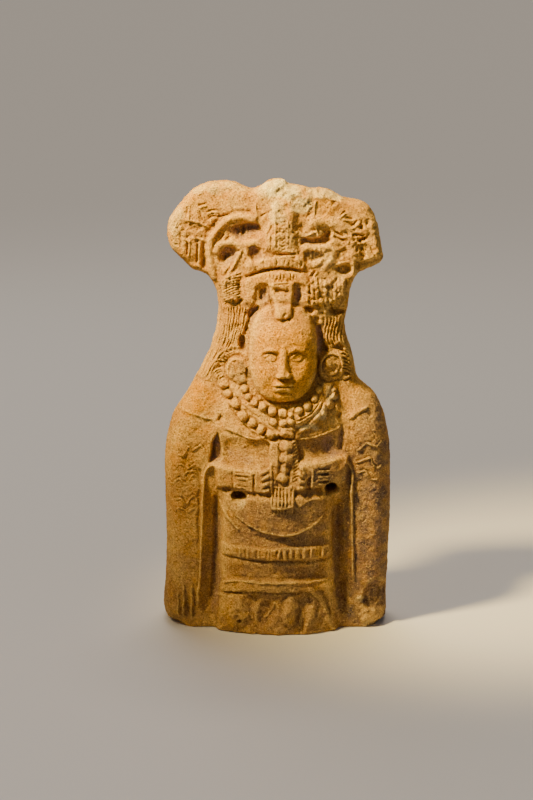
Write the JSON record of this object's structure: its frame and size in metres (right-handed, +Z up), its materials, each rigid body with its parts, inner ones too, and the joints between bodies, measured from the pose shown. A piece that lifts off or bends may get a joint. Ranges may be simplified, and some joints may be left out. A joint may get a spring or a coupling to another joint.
{
  "type": "jaina figurine",
  "caption": "Mould-made fired clay figurine of a standing dignitary with folded forearms, bead necklaces and a tall feather headdress, on a flat underside.",
  "frame": {"origin": "centre of the bounding box at the underside, which is flat on the surface it stands on", "axes": "+Z up along the height, -Y towards the front of the figure, +X towards the figure's left hand, which is the viewer's right"},
  "size_m": [0.103, 0.0522, 0.2001],
  "materials": {
    "fired_clay": "matte, buff-orange fired clay, worn and dusty"
  },
  "bodies": {
    "root": {"figurine": "fired_clay"}
  },
  "joints": []
}
